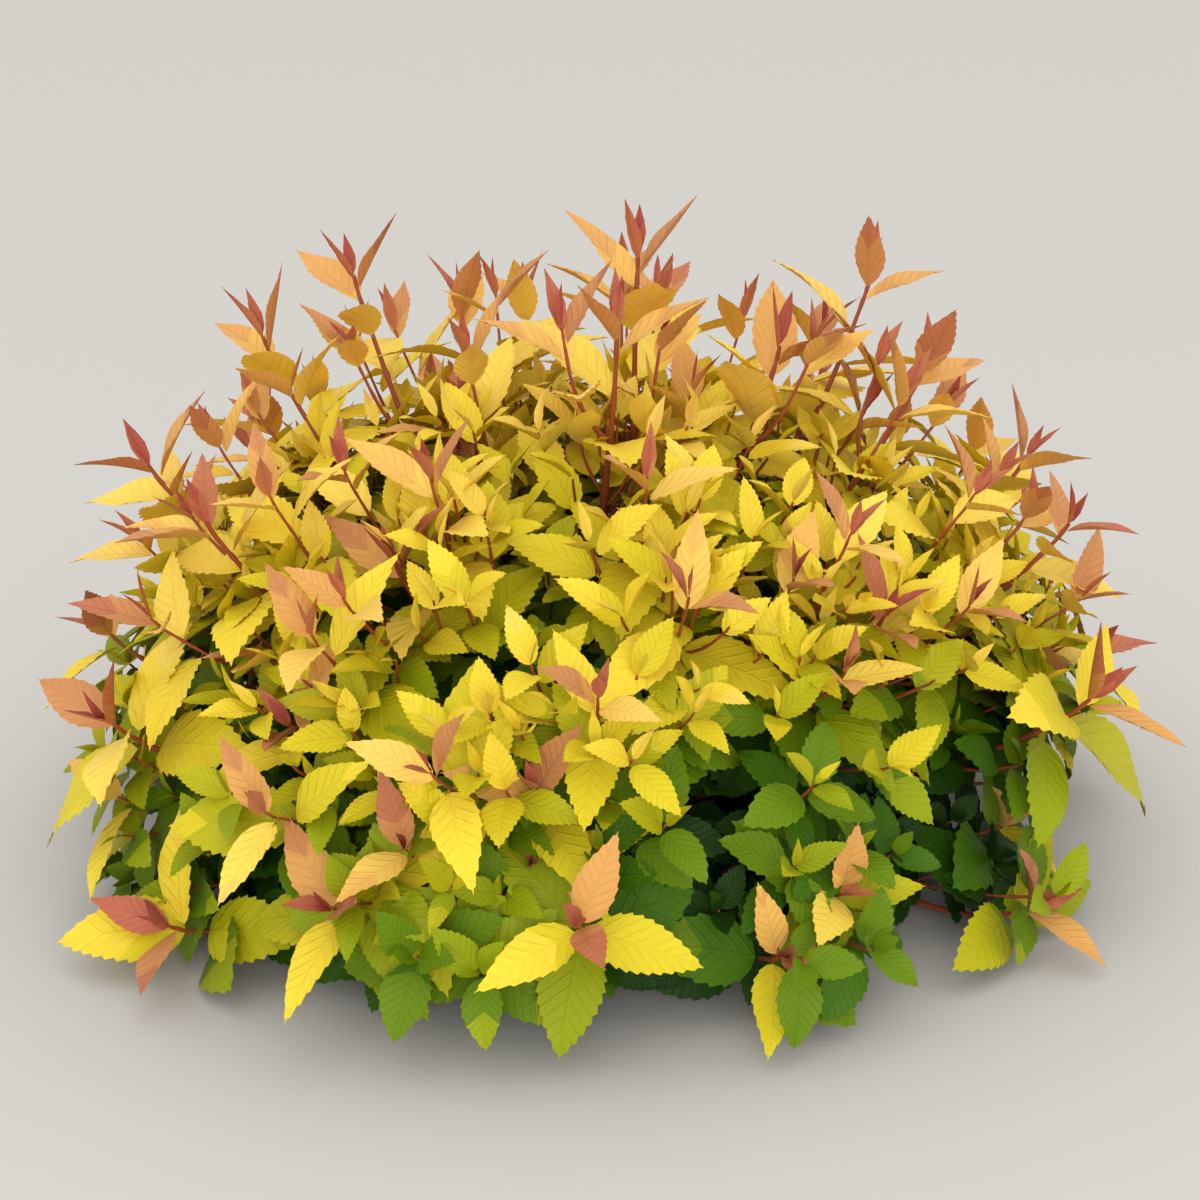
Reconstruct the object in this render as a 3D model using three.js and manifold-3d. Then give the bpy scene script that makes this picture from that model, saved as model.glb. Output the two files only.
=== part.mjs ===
// A young golden-leaved spirea, rooted in the ground: a low mound of slender red-brown canes that
// rise from one woody base and end in leafy shoots.
// Millimetres, +Z up, the front of the shrub towards -Y. The origin is at ground level, in the middle
// of the flat cut under the woody base. An azimuth is 0 at the front and grows towards the right (+X).
import * as THREE from "three";
import { mergeVertices } from "three/addons/utils/BufferGeometryUtils.js";
import Module from "manifold-3d";

const wasm = await Module();
wasm.setup();

// ---- Driving dimensions ----

const FIT_GAP = 0.3; // between the end of one solid and the start of the next
const LEAF_CLEARANCE = 0.4; // between a leaf and any other mass or limb
const WELD = 0.03; // two points of one surface that are nearer than this become one
const GROUND_CLEARANCE = 2.5; // nothing but the woody base comes nearer to the ground

const BASE = { groundRadius: 41, neckRadius: 30, height: 34, sides: 10 };
const STUB = { start: 20, reach: 47, lift: 7 }; // where a cane leaves the woody base

const CANE = {
  footRadius: 3.3, endRadius: 1.6, sides: 5, steps: 3,
  startHandle: 0.38, endHandle: 0.22, curveSteps: 24,
};
const STEM = { startRadius: 2.8, sides: 4, step: 75 }; // the leafy end of a cane
const CANE_END_LEAN = 0.72; // share of the cane's own lean that its upturned end keeps

// Each tier lists its canes round the shrub: the azimuth, the distance from the middle and the height
// of the tip of each cane's topmost leaf. footLean is the lean of the stubs from the vertical, and
// bough the share of the cane that is bare limb, 0 where the leafy stem starts at the base.
const TIERS = [
  {
    name: "top", footLean: 14, bough: 0.5,
    azimuth: [-110, 11, 90, 142],
    distance: [89, 51, 109, 38],
    height: [275, 348, 322, 370],
  },
  {
    name: "upper", footLean: 36, bough: 0.5,
    azimuth: [-140, -114, -108, -42, 18, 98, 112, 165],
    distance: [143, 170, 226, 176, 157, 205, 184, 160],
    height: [321, 347, 308, 236, 229, 304, 347, 315],
  },
  {
    name: "middle", footLean: 58, bough: 0.46,
    azimuth: [-160, -126, -94, -64, -41, -8, 47, 76, 108, 144],
    distance: [270, 285, 285, 251, 262, 253, 221, 286, 298, 280],
    height: [202, 222, 240, 249, 164, 152, 209, 233, 222, 212],
  },
  {
    name: "low", footLean: 80, bough: 0,
    azimuth: [-160, -127, -94, -62, -50, -28, -2, 20, 54, 65, 96, 129, 163],
    distance: [302, 312, 322, 318, 322, 305, 298, 288, 312, 315, 326, 315, 304],
    height: [112, 84, 126, 142, 44, 91, 97, 62, 42, 150, 108, 120, 82],
  },
];

const SIDE_SHOOTS = { top: 2, upper: 3, middle: 3, low: 2 }; // on each cane, the lowest one first
const SHOOT = {
  firstStart: 0.12, lastStart: 0.58, // shares of the leafy stem
  angle: 52, // from the stem, in degrees
  longest: 118, shortest: 84, leastLength: 38,
  growth: 0.95, // how strongly a side shoot turns towards the light
  crownReach: 308, // side shoots end on a dome of this radius, and the canes' own tips stand out of it
  leastTipHeight: 34,
  trim: 4, // how much shorter each try is
  bendAt: 0.45, // the share of the shoot that keeps to its first direction
  spacing: 2, // clear of any other stem
  startRadius: 1.6, endRadius: 1.4, sides: 3, steps: 2,
};
const GOLDEN_TURN = 137.5;
const SHOOT_SEED = 100;
const LEAF_SEED = 500;
const LEAST_STEM = 6; // bare twig below its lowest leaf

// Leaves are larger and fewer than life. The steps go from a shoot's tip back towards its root.
const LEAF = {
  length: 86, widthShare: 0.5, widestAt: 0.4, foldShare: 0.1, droopShare: 0.05,
  thickness: 1.5, thickestAt: 0.2,
  sink: 0.6, // how far the leaf's root passes the middle of its twig
  turn: 144, // two turns for every five leaves
  rootShare: 0.22, // the part next to the twig, which may run into its own mass
};
const LEAF_STEPS = [
  { back: 0, size: 0.56, angle: 4 },
  { back: 9, size: 0.68, angle: 36 },
  { back: 22, size: 0.86, angle: 52 },
  { back: 40, size: 1.0, angle: 63 },
  { back: 62, size: 1.0, angle: 72 },
  { back: 88, size: 0.92, angle: 80 },
];
const LEAD_LEAVES = 6; // steps used on a cane's own tip
const SIDE_LEAVES = 3; // and on a side shoot
const TURN_TRIES = [0, 26, -26, 52, -52]; // degrees round the stem, before a shoot or leaf is skipped

const BARK = new THREE.MeshStandardMaterial({ color: 0x6b3a22, roughness: 0.75, metalness: 0 });
const BASE_BARK = new THREE.MeshStandardMaterial({ color: 0x5a4330, roughness: 0.9, metalness: 0 });
const FOLIAGE = {
  top: new THREE.MeshStandardMaterial({ color: 0xe0a24a, roughness: 0.6, metalness: 0 }),
  upper: new THREE.MeshStandardMaterial({ color: 0xe6b940, roughness: 0.6, metalness: 0 }),
  middle: new THREE.MeshStandardMaterial({ color: 0xdcc036, roughness: 0.6, metalness: 0 }),
  low: new THREE.MeshStandardMaterial({ color: 0xa5b02c, roughness: 0.6, metalness: 0 }),
};

// ---- Numbers and directions ----

const UP = new THREE.Vector3(0, 0, 1);
const radians = THREE.MathUtils.degToRad;

// A repeatable stream of numbers from 0 to 1.
function seeded(seed) {
  let state = seed >>> 0;
  return () => {
    state = (state + 0x6d2b79f5) >>> 0;
    let t = state;
    t = Math.imul(t ^ (t >>> 15), t | 1);
    t ^= t + Math.imul(t ^ (t >>> 7), t | 61);
    return ((t ^ (t >>> 14)) >>> 0) / 4294967296;
  };
}

// The direction at an azimuth that leans from the vertical, both in degrees.
function leaning(azimuth, lean) {
  const a = radians(azimuth);
  const l = radians(lean);
  return new THREE.Vector3(Math.sin(l) * Math.sin(a), -Math.sin(l) * Math.cos(a), Math.cos(l));
}

// The way that a shoot at this place turns: outwards low in the crown, and upwards at its top.
function growthAt(place) {
  const outwards = Math.hypot(place.x, place.y);
  const lean = THREE.MathUtils.radToDeg(Math.atan2(outwards, place.z)) * CANE_END_LEAN;
  return leaning(THREE.MathUtils.radToDeg(Math.atan2(place.x, -place.y)), lean);
}

// A direction turned away from an axis by an angle, on the side that turn gives.
function turnedFrom(axis, angle, turn) {
  const first = new THREE.Vector3().crossVectors(axis, UP);
  if (first.length() < 0.2) first.set(1, 0, 0);
  first.normalize();
  const second = new THREE.Vector3().crossVectors(axis, first).normalize();
  const side = first.multiplyScalar(Math.cos(radians(turn)))
    .addScaledVector(second, Math.sin(radians(turn)));
  return axis.clone().multiplyScalar(Math.cos(radians(angle)))
    .addScaledVector(side, Math.sin(radians(angle))).normalize();
}

const SPREAD_STEPS = 12;

// A line of straight steps, with the length up to each point of it. Its two end faces may be given
// directions of their own, so that they lie flat against the faces they meet.
class Path {
  constructor(points, startFacing = null, endFacing = null) {
    this.points = points;
    this.startFacing = startFacing;
    this.endFacing = endFacing;
    this.lengths = [0];
    for (let i = 1; i < points.length; i++)
      this.lengths.push(this.lengths[i - 1] + points[i].distanceTo(points[i - 1]));
    this.length = this.lengths.at(-1);
  }
  at(along) {
    let i = 1;
    while (i < this.points.length - 1 && this.lengths[i] < along) i++;
    const share = (along - this.lengths[i - 1]) / (this.lengths[i] - this.lengths[i - 1]);
    return this.points[i - 1].clone().lerp(this.points[i], share);
  }
  direction(along) {
    const span = this.length / 24;
    const before = this.at(Math.max(0, along - span));
    return this.at(Math.min(this.length, along + span)).sub(before).normalize();
  }
  // The distance from a place to the nearest of some points spread along the path.
  distanceTo(place) {
    this.spread ??= this.part(0, this.length, SPREAD_STEPS).points;
    return Math.min(...this.spread.map((point) => point.distanceTo(place)));
  }
  // The stretch between two lengths, in fewer and longer steps.
  part(from, to, steps, startFacing = null, endFacing = null) {
    const lengths = Array.from({ length: steps + 1 }, (_, i) => from + ((to - from) * i) / steps);
    return new Path(lengths.map((along) => this.at(along)), startFacing, endFacing);
  }
}

// ---- Solids ----

function solidFrom(geometry) {
  const bare = geometry.index ? geometry.toNonIndexed() : geometry.clone();
  bare.deleteAttribute("normal");
  bare.deleteAttribute("uv");
  const merged = mergeVertices(bare, 1e-3);
  return new wasm.Manifold(new wasm.Mesh({
    numProp: 3,
    vertProperties: new Float32Array(merged.attributes.position.array),
    triVerts: new Uint32Array(merged.index.array),
  }));
}

// The solid's surface, with the slivers left where faces cross closed up: the two ends of any edge
// shorter than the weld become one point.
function geometryFrom(solid) {
  const mesh = solid.getMesh();
  const spot = (i) => new THREE.Vector3().fromArray(mesh.vertProperties, i * mesh.numProp);
  const kept = Array.from({ length: mesh.numVert }, (_, i) => i);
  const keptFor = (i) => (kept[i] === i ? i : keptFor(kept[i]));
  const corners = mesh.triVerts;
  for (let t = 0; t < corners.length; t++) {
    const a = keptFor(corners[t]);
    const b = keptFor(corners[t % 3 === 2 ? t - 2 : t + 1]);
    if (a !== b && spot(a).distanceTo(spot(b)) < WELD) kept[Math.max(a, b)] = Math.min(a, b);
  }
  const faces = [];
  for (let t = 0; t < corners.length; t += 3) {
    const [a, b, c] = [0, 1, 2].map((k) => keptFor(corners[t + k]));
    if (a !== b && b !== c && c !== a) faces.push(a, b, c);
  }
  const order = new Map([...new Set(faces)].map((i, k) => [i, k]));
  const places = [...order.keys()].flatMap((i) => spot(i).toArray());
  const geometry = new THREE.BufferGeometry();
  geometry.setAttribute("position", new THREE.Float32BufferAttribute(places, 3));
  geometry.setIndex(faces.map((i) => order.get(i)));
  geometry.computeVertexNormals();
  return geometry;
}

// A tapering limb: a cylinder with a ring at each point of a path.
function limb(path, fromRadius, toRadius, sides) {
  const steps = path.points.length - 1;
  const geometry = new THREE.CylinderGeometry(1, 1, 1, sides, steps);
  const place = geometry.attributes.position;
  const chord = path.points[steps].clone().sub(path.points[0]);
  const across = new THREE.Vector3().crossVectors(chord, UP);
  if (across.length() < 0.05 * chord.length()) across.set(1, 0, 0);
  for (let i = 0; i < place.count; i++) {
    const ring = Math.round((place.getY(i) + 0.5) * steps);
    const before = path.points[Math.max(0, ring - 1)];
    let ahead = path.points[Math.min(steps, ring + 1)].clone().sub(before).normalize();
    if (ring === 0 && path.startFacing) ahead = path.startFacing;
    if (ring === steps && path.endFacing) ahead = path.endFacing;
    const radius = THREE.MathUtils.lerp(fromRadius, toRadius, ring / steps);
    const right = across.clone().addScaledVector(ahead, -across.dot(ahead)).normalize();
    const front = new THREE.Vector3().crossVectors(right, ahead);
    const spot = path.points[ring].clone()
      .addScaledVector(right, radius * place.getX(i))
      .addScaledVector(front, radius * place.getZ(i));
    place.setXYZ(i, spot.x, spot.y, spot.z);
  }
  return solidFrom(geometry);
}

// A leaf of eight faces: an octahedron drawn out to a pointed blade, folded up a little at the rib.
function leaf(root, ahead, upper, length) {
  const geometry = new THREE.OctahedronGeometry(1, 0);
  const place = geometry.attributes.position;
  const side = new THREE.Vector3().crossVectors(upper, ahead).normalize();
  const top = new THREE.Vector3().crossVectors(ahead, side).normalize();
  const halfWidth = (length * LEAF.widthShare) / 2;
  for (let i = 0; i < place.count; i++) {
    const [x, y, z] = [place.getX(i), place.getY(i), place.getZ(i)];
    const onRib = Math.abs(x) > 0.5;
    const middle = Math.abs(y) > 0.5 ? LEAF.widestAt * length : LEAF.thickestAt * length;
    const forward = onRib ? (x > 0 ? length : -LEAF.sink) : middle;
    const rise = LEAF.foldShare * length * Math.abs(y) - (x > 0.5 ? LEAF.droopShare * length : 0);
    const spot = root.clone()
      .addScaledVector(ahead, forward)
      .addScaledVector(side, halfWidth * y)
      .addScaledVector(top, rise + (LEAF.thickness / 2) * z);
    place.setXYZ(i, spot.x, spot.y, spot.z);
  }
  return solidFrom(geometry);
}

// ---- The canes ----

function canesOf(tier) {
  const count = tier.azimuth.length;
  return tier.azimuth.map((azimuth, i) => {
    const evenly = -180 + ((i + 0.5) * 360) / count;
    const outwards = leaning((azimuth + evenly) / 2, tier.footLean);
    const foot = outwards.clone().multiplyScalar(STUB.reach).addScaledVector(UP, STUB.lift);
    const tip = leaning(azimuth, 90).multiplyScalar(tier.distance[i]).setZ(tier.height[i]);
    const turned = growthAt(tip);
    const end = tip.clone().addScaledVector(turned, -LEAF.length * LEAF_STEPS[0].size);
    const span = end.distanceTo(foot);
    const curve = new THREE.CubicBezierCurve3(
      foot,
      foot.clone().addScaledVector(outwards, CANE.startHandle * span),
      end.clone().addScaledVector(turned, -CANE.endHandle * span),
      end,
    );
    const path = new Path(curve.getPoints(CANE.curveSteps));
    const leafyFrom = tier.bough * path.length;
    const radiusAt = (along) => THREE.MathUtils.lerp(CANE.footRadius, CANE.endRadius, along / path.length);
    const meeting = tier.bough ? path.direction(leafyFrom) : outwards;
    const bare = tier.bough
      ? path.part(0, leafyFrom - FIT_GAP, CANE.steps, outwards, meeting)
      : null;
    const stemSteps = Math.ceil((path.length - leafyFrom) / STEM.step);
    const stem = path.part(leafyFrom, path.length, stemSteps, meeting);
    return {
      name: `${tier.name}_${i + 1}`, tier, foot, outwards, bare, stem,
      bareEndRadius: radiusAt(leafyFrom), stemRadius: Math.min(radiusAt(leafyFrom), STEM.startRadius),
    };
  });
}

// The side shoots of a cane, each kept clear of every stem there is and in its own mass's space. A
// shoot is turned round its cane, and shortened, until it fits, or it is left out.
function sideShoots(cane, seed, leads, stems) {
  const random = seeded(seed);
  const shoots = [];
  const count = SIDE_SHOOTS[cane.tier.name];
  const firstTurn = random() * 360;
  const leavesSpace = (end) =>
    end.length() > SHOOT.crownReach || end.z < SHOOT.leastTipHeight || strays(end, [cane.stem], leads);
  for (let k = 0; k < count; k++) {
    const rank = k / (count - 1);
    const share = THREE.MathUtils.lerp(SHOOT.firstStart, SHOOT.lastStart, rank) + 0.06 * random();
    const longest = THREE.MathUtils.lerp(SHOOT.longest, SHOOT.shortest, rank) * (0.9 + 0.2 * random());
    const start = cane.stem.at(share * cane.stem.length);
    const axis = cane.stem.direction(share * cane.stem.length);
    for (const extra of TURN_TRIES) {
      const away = turnedFrom(axis, SHOOT.angle, firstTurn + k * GOLDEN_TURN + extra);
      const onward = away.clone().addScaledVector(growthAt(start), SHOOT.growth).normalize();
      const endAt = (reach) => start.clone().addScaledVector(onward, reach);
      let length = longest;
      while (length > SHOOT.leastLength && leavesSpace(endAt(length))) length -= SHOOT.trim;
      if (length <= SHOOT.leastLength) continue;
      const bend = start.clone().addScaledVector(away, SHOOT.bendAt * length);
      const curve = new THREE.QuadraticBezierCurve3(start, bend, endAt(length));
      const path = new Path(curve.getPoints(SHOOT.steps));
      if (!stems.every((other) => other === cane.stem || apart(path, other))) continue;
      shoots.push(path);
      stems.push(path);
      break;
    }
  }
  return shoots;
}

// True if a place lies nearer to a stem of another mass than to those of its own.
function strays(place, own, others) {
  const reach = Math.min(...own.map((path) => path.distanceTo(place)));
  return others.some((path) => !own.includes(path) && path.distanceTo(place) < reach);
}

// True if two paths keep the width of their stems and some space between them.
function apart(path, other) {
  const least = SHOOT.startRadius + STEM.startRadius + SHOOT.spacing;
  return path.part(0, path.length, SPREAD_STEPS).points.every((place) => other.distanceTo(place) > least);
}

// ---- The nodes ----

function baseSolid(canes) {
  const { groundRadius, neckRadius, height, sides } = BASE;
  const profile = [
    new THREE.Vector2(0, 0),
    new THREE.Vector2(groundRadius, 0),
    new THREE.Vector2(groundRadius - 4, 6),
    new THREE.Vector2(neckRadius, 0.55 * height),
    new THREE.Vector2(0, height),
  ];
  const body = new THREE.LatheGeometry(profile, sides);
  body.rotateX(Math.PI / 2); // the lathe's axis stands along +Z
  const pieces = [solidFrom(body)];
  for (const cane of canes) {
    const start = cane.foot.clone().addScaledVector(cane.outwards, STUB.start - STUB.reach);
    const end = cane.foot.clone().addScaledVector(cane.outwards, -FIT_GAP);
    pieces.push(limb(new Path([start, end]), 1.5 * CANE.footRadius, CANE.footRadius, CANE.sides));
  }
  return wasm.Manifold.union(pieces);
}

function near(a, b, margin) {
  return [0, 1, 2].every((k) => a.min[k] - margin < b.max[k] && b.min[k] - margin < a.max[k]);
}

function touches(piece, others, margin) {
  const box = piece.boundingBox();
  return others.some((o) => near(box, o.box, margin) && piece.minGap(o.solid, margin) < margin);
}

const boxed = (solid) => ({ solid, box: solid.boundingBox() });

// The bare wood of one mass: the cane's leafy stem and its side shoots.
function massWood(cane, shoots) {
  const stem = limb(cane.stem, cane.stemRadius, CANE.endRadius, STEM.sides);
  const { startRadius, endRadius, sides } = SHOOT;
  const twigs = shoots.map((shoot) => limb(shoot, startRadius, endRadius, sides));
  return wasm.Manifold.union([stem, ...twigs]);
}

// The leaves of one shoot, placed from its tip back and added to their own mass. Each is turned round
// its twig until it is in its own mass's space and clear of all other masses and limbs, and its outer
// part of its own mass too, or it is skipped.
function leavesOn(path, count, random, own, foreign, ownStems, stems) {
  const firstTurn = random() * 360;
  LEAF_STEPS.slice(0, count).forEach((step, j) => {
    const along = path.length - step.back;
    const length = LEAF.length * step.size * (0.92 + 0.16 * random());
    if (along < LEAST_STEM) return;
    const root = path.at(along);
    const axis = path.direction(along);
    for (const extra of TURN_TRIES) {
      const ahead = turnedFrom(axis, step.angle, firstTurn + j * LEAF.turn + extra);
      const upper = axis.clone().add(UP);
      const blade = leaf(root, ahead, upper, length);
      if (blade.boundingBox().min[2] < GROUND_CLEARANCE) continue;
      if (strays(root.clone().addScaledVector(ahead, length / 2), ownStems, stems)) continue;
      if (touches(blade, foreign, LEAF_CLEARANCE)) continue;
      const inner = LEAF.rootShare * length;
      const outer = leaf(root.clone().addScaledVector(ahead, inner), ahead, upper, length - inner);
      if (touches(outer, own, LEAF_CLEARANCE)) continue;
      own.push(boxed(blade));
      break;
    }
  });
}

// ---- The shrub ----

const shrub = new THREE.Group();

function addNode(name, solid, material) {
  const mesh = new THREE.Mesh(geometryFrom(solid), material);
  mesh.name = name;
  shrub.add(mesh);
}

const canes = TIERS.flatMap(canesOf);
const leads = canes.map((cane) => cane.stem);
const boughs = canes.filter((cane) => cane.bare);
const stems = [...leads, ...boughs.map((cane) => cane.bare)];
const shoots = canes.map((cane, i) => sideShoots(cane, SHOOT_SEED + i, leads, stems));

const base = baseSolid(canes);
addNode("woody_base", base, BASE_BARK);
const limbs = [boxed(base)];
for (const cane of boughs) {
  const bough = limb(cane.bare, CANE.footRadius, cane.bareEndRadius, CANE.sides);
  limbs.push(boxed(bough));
  addNode(`stem_${cane.name}`, bough, BARK);
}

const masses = canes.map((cane, i) => [boxed(massWood(cane, shoots[i]))]);
canes.forEach((cane, i) => {
  const random = seeded(LEAF_SEED + i);
  const foreign = [...limbs, ...masses.filter((_, k) => k !== i).flat()];
  const own = [cane.stem, ...shoots[i]];
  own.forEach((path, k) => {
    leavesOn(path, k === 0 ? LEAD_LEAVES : SIDE_LEAVES, random, masses[i], foreign, own, stems);
  });
  const mass = wasm.Manifold.union(masses[i].map((one) => one.solid));
  addNode(`foliage_${cane.name}`, mass, FOLIAGE[cane.tier.name]);
});

export default shrub;
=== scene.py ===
"""A young golden-leaved spirea in spring growth, in its own frame, laid out as an add-on.

The growth rule is in millimetres and degrees and every mesh is in metres, with +Z up and the front of
the shrub towards -Y. An azimuth is 0 at the front and grows towards the right (+X).
"""

import math
from collections import namedtuple

import bpy
import numpy as np
from bpy.props import (
    FloatProperty, FloatVectorProperty, IntProperty, PointerProperty,
)
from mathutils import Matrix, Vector


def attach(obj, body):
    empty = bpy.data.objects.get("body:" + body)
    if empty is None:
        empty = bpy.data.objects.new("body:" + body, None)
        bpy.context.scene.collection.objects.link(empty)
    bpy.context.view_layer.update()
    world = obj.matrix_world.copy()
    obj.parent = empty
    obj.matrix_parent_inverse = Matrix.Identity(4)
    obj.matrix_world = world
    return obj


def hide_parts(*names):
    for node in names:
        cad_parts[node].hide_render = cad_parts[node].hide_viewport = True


bl_info = {
    "name": "Golden spirea shrub",
    "version": (1, 0, 0),
    "blender": (4, 5, 0),
    "location": "3D View > Sidebar > Shrub",
    "description": "Grows a young spirea clump of canes, twigs and leaves round its solid frame",
    "category": "Add Mesh",
}

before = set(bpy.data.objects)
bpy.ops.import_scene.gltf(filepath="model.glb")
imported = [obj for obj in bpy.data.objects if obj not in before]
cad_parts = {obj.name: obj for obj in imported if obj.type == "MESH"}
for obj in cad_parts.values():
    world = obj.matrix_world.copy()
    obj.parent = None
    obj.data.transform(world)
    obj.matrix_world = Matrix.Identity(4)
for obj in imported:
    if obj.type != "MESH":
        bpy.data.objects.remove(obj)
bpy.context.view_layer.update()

MM = 0.001

# ---- Driving dimensions of the canes and side shoots, the same as the solids' ----

STUB = {"start": 20, "reach": 47, "lift": 7}  # where a cane leaves the woody base
CANE = {
    "foot_radius": 3.3, "end_radius": 1.6,
    "start_handle": 0.38, "end_handle": 0.22, "curve_steps": 24,
}
STEM_STEP, BARE_STEPS = 75, 3  # a leafy stem's step at most, and a bare bough's steps
STEM_RADIUS = 2.8
CANE_END_LEAN = 0.72  # share of the cane's own lean that its upturned end keeps
TOP_LEAF = 86 * 0.56  # how far a cane's topmost leaf stands out past its end
FIT_GAP = 0.3
# For each tier: how its canes leave the ground, the bare share of a cane, the shoots and sprigs tried on
# its leafy stem, how far up it sprigs start, how far apart leaves stand, and their size on main shoots
# and on sprigs. Then, cane by cane, where its tip is.
TIERS = [
    {
        "name": "top", "foot_lean": 14, "bough": 0.5, "shoots": 2,
        "sprigs": 7, "sprig_end": 0.3, "packed": 1.4, "vigour": 1.14, "sprig_vigour": 0.84,
        "azimuth": [-110, 11, 90, 142],
        "distance": [89, 51, 109, 38],
        "height": [275, 348, 322, 370],
    },
    {
        "name": "upper", "foot_lean": 36, "bough": 0.5, "shoots": 3,
        "sprigs": 13, "sprig_end": 0.52, "packed": 1.15, "vigour": 1.06, "sprig_vigour": 0.8,
        "azimuth": [-140, -114, -108, -42, 18, 98, 112, 165],
        "distance": [143, 170, 226, 176, 157, 205, 184, 160],
        "height": [321, 347, 308, 236, 229, 304, 347, 315],
    },
    {
        "name": "middle", "foot_lean": 58, "bough": 0.46, "shoots": 3,
        "sprigs": 13, "sprig_end": 0.62, "packed": 0.8, "vigour": 1.0, "sprig_vigour": 0.72,
        "azimuth": [-160, -126, -94, -64, -41, -8, 47, 76, 108, 144],
        "distance": [270, 285, 285, 251, 262, 253, 221, 286, 298, 280],
        "height": [202, 222, 240, 249, 164, 152, 209, 233, 222, 212],
    },
    {
        "name": "low", "foot_lean": 80, "bough": 0, "shoots": 2,
        "sprigs": 13, "sprig_end": 0.7, "packed": 0.34, "vigour": 0.96, "sprig_vigour": 0.6,
        "azimuth": [-160, -127, -94, -62, -50, -28, -2, 20, 54, 65, 96, 129, 163],
        "distance": [302, 312, 322, 318, 322, 305, 298, 288, 312, 315, 326, 315, 304],
        "height": [112, 84, 126, 142, 44, 91, 97, 62, 42, 150, 108, 120, 82],
    },
]
GOLDEN_TURN = 137.5
TURN_TRIES = [0, 26, -26, 52, -52]  # degrees round the stem, before a shoot is skipped
SPREAD_STEPS = 12  # steps of a path when its distance to others is measured
DIRECTION_STEPS = 24  # a path's direction is taken over this share of it, before and after
UPRIGHT_SINE = 0.2  # an axis that leans less than this has no level side of its own
SHOOT_SEED = 100

# How one order of shoots grows from another: where it starts on its parent, as shares of the parent's
# length, and how long it may be. A shoot is turned, and shortened by the trim, until it fits. It keeps
# the lead gap from the leafy stems of other canes.
SHOOT = {
    "first_start": 0.12, "last_start": 0.58, "start_spread": 0.06, "angle": 52,
    "longest": 118, "shortest": 84, "least_length": 38, "growth": 0.95,
    "crown_reach": 308, "dome": (400, 400, 400), "least_tip_height": 34, "trim": 4, "bend_at": 0.45,
    "radius": 1.6, "other_radius": STEM_RADIUS, "spacing": 2, "steps": 2, "lead_gap": 0,
}
# Fine twigs on the leafy stems and on the side shoots, and in the shade on the bare boughs.
SPRIG = {
    **SHOOT, "first_start": 0.04, "last_start": 0.62, "start_spread": 0.08, "shortest": 40,
    "least_length": 16, "growth": 0.8, "crown_reach": 300, "dome": (305, 288, 256), "least_tip_height": 24,
    "bend_at": 0.4, "radius": 1.0, "other_radius": 1.4, "spacing": 1, "steps": 3, "lead_gap": 32,
}
SHADE_TWIG = {
    **SPRIG, "first_start": 0.25, "last_start": 0.95, "start_spread": 0.05, "angle": 56,
    "longest": 140, "shortest": 90, "least_length": 24, "crown_reach": 290, "dome": (295, 280, 260),
    "least_tip_height": 22, "trim": 5, "bend_at": 0.45, "radius": 1.1, "lead_gap": 20,
}
SPRIG_SEED, CANE_SEEDS = 2000, 10  # each cane has this many seeds, one for each stem with sprigs
SHADE_SEED = 4000
LEAF_SEED = 500

# How canes and twigs are drawn, by their order, the main ones first: the steps of a line, its radius at
# the root, its soft tip beyond the solid twig's end, the size of its leaves next to the tier's, and how
# far down the rows of leaves and of tints it starts.
ORDERS = {
    "stem": {"steps": 16, "reach": 22, "vigour": 1.04, "skip": 0, "tints_from": 0},
    "shoot": {"steps": 8, "radius": 1.6, "reach": 20, "vigour": 0.94, "skip": 0, "tints_from": 0.6},
    "sprig": {"steps": 5, "radius": 1.05, "reach": 10, "skip": 1, "tints_from": 3.4},
    "shade": {"steps": 5, "radius": 1.0, "reach": 6, "vigour": 0.64, "skip": 2, "tints_from": 6.0},
}
BOUGH_STEPS = 14
BOUGH_SEAT = 5  # how far a bough reaches down into its stub
STEM_TIP_RADIUS = 1.0
TWIG_TIP_RADIUS = 0.65
TIP_RISE = 0.12  # how far a soft tip turns up
NODE_SWELLING, NODE_MARGIN = 1.3, 3  # at a leaf, but not this near to either end
LEAST_STATION = 1.2  # least length between two rings of a stem

# ---- Leaves ----

# Steps from a shoot's tip back towards its root: the length and the angle from the stem of the leaf
# there. Further back the leaves stand a full internode apart and grow no larger.
LEAF_BACK = [0, 3, 8, 14, 31, 49, 68, 88, 108]
LEAF_LENGTH = [24, 33, 49, 56, 67, 76, 80, 78, 72]
LEAF_ANGLE = [4, 26, 44, 52, 57, 61, 65, 69, 73]
INTERNODE = 19
OLD_LEAF_LENGTH = 42
OLD_FROM, OLD_SPAN = 60, 60  # how far back from the tip leaves start to be old, and until they are
WEAK_SPACING = 0.45  # share of the internodes that the weakest shoots would have
LEAST_STEM = 6  # bare twig below its lowest leaf
SHADE_SIZE = 0.6  # share of their length that leaves deep in the shade reach
SIZE_SPREAD = 0.1  # share by which sizes vary either way
TURN_SWING, ANGLE_SWING = 16, 12  # degrees, from side to side
FOLD_SWING, CURL_SWING, TWIST_SWING = 0.1, 0.5, 0.5  # radians, from side to side
SPRAY_TINTS = 1.5  # tints between the greenest and the reddest of like sprays
AXIS_SHARE = 0.6  # how far a leaf faces along its stem, next to facing the light

# Rules that change a value on the way: the first one, the last one, and how far along that is reached.
# By height in the crown:
LIGHT_ASIDE = (1.0, 0.5, 300)  # light from outside the crown, next to that from above
FLATTENED = (0.7, 0.2, 260)  # how far leaves turn to lie across the light
BREADTH = (1.06, 0.86, 300)
SPRIG_GREENING_AND_SHADE = (4.8, 0.0, 168)  # steps further down the row of tints, to greener, darker leaves low down: partly their colour, partly painted shade
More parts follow.
